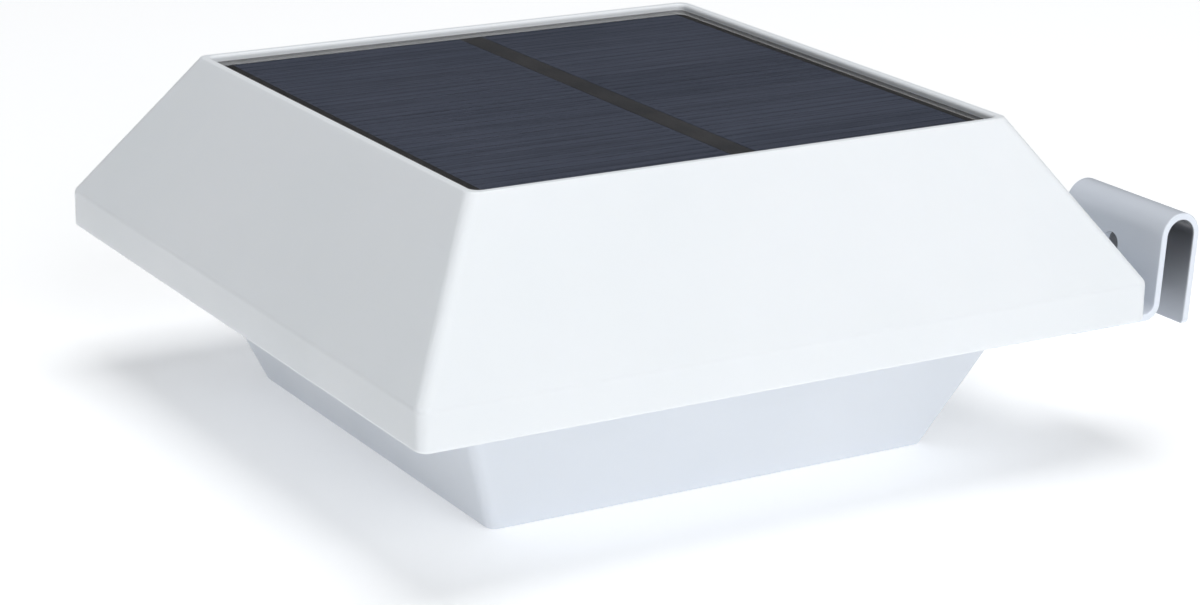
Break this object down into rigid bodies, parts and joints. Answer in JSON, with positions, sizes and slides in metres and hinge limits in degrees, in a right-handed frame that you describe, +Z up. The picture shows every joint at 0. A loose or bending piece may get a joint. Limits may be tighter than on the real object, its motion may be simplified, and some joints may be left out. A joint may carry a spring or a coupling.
{
  "type": "solar gutter light",
  "caption": "Square white solar light with bevelled shell, sunk panel on top, frosted light box below and painted hooks that hang over a gutter lip.",
  "frame": {"origin": "centre of the flat bottom of the frosted light box", "axes": "+Z up through the solar panel, +Y to the rear where the hooks are, +X to the side that the fixing holes line up along"},
  "size_m": [0.115, 0.1256, 0.0495],
  "materials": {
    "shell_white": "satin white moulded shell",
    "base_white": "matt white moulded plate",
    "seal_grey": "soft grey foam or silicone",
    "lens_frosted": "frosted translucent white",
    "panel_clear": "clear glossy resin",
    "panel_black": "black board",
    "bus_dark": "dark brown ribbon",
    "silicon": "dark blue-grey silicon",
    "bracket_paint": "pale grey-white paint on steel",
    "screw_steel": "zinc plated",
    "board_white": "white solder mask",
    "led_amber": "phosphor over white package",
    "component_black": "moulded component",
    "tray_black": "black moulding",
    "cell_steel": "nickel plated can",
    "sleeve_blue": "shrink sleeve",
    "contact_nickel": "nickel plated spring steel",
    "board_green": "green solder mask",
    "capacitor_can": "aluminium can",
    "socket_ivory": "nylon",
    "button_grey": "soft grey",
    "lead_red": "pvc",
    "lead_black": "pvc"
  },
  "bodies": {
    "lamp": {"base_plate": "base_white", "battery_cell": "cell_steel", "battery_contacts": "contact_nickel", "battery_lead_black": "lead_black", "battery_lead_red": "lead_red", "battery_sleeve": "sleeve_blue", "battery_spring": "contact_nickel", "battery_tray": "tray_black", "battery_tray_screws": "screw_steel", "bracket_screws": "screw_steel", "capacitor": "capacitor_can", "case_screws": "screw_steel", "control_board": "board_green", "control_board_screws": "screw_steel", "control_chip": "component_black", "inductor": "component_black", "lead_sockets": "socket_ivory", "led_board": "board_white", "led_board_screws": "screw_steel", "led_chips": "led_amber", "led_lead_black": "lead_black", "led_lead_red": "lead_red", "led_resistors": "component_black", "left_bracket": "bracket_paint", "lens": "lens_frosted", "lens_seal": "seal_grey", "panel_board": "panel_black", "panel_busbar": "bus_dark", "panel_cover": "panel_clear", "panel_lead_black": "lead_black", "panel_lead_red": "lead_red", "panel_tape": "seal_grey", "right_bracket": "bracket_paint", "shell_gasket": "seal_grey", "solar_cells_front": "silicon", "solar_cells_rear": "silicon", "switch_housing": "tray_black", "switch_lead_black": "lead_black", "switch_lead_red": "lead_red", "switch_spring": "contact_nickel", "switch_terminals": "contact_nickel", "top_shell": "shell_white"},
    "push_button": {"button": "button_grey", "switch_plunger": "component_black"}
  },
  "joints": [
    {"name": "button_press", "type": "slide", "parent": "lamp", "child": "push_button", "axis": [0, 0, 1], "range_m": [0, 0.0015], "stiffness_N_per_m": 600, "springref_m": -0.001, "deforming": ["switch_spring"]}
  ]
}
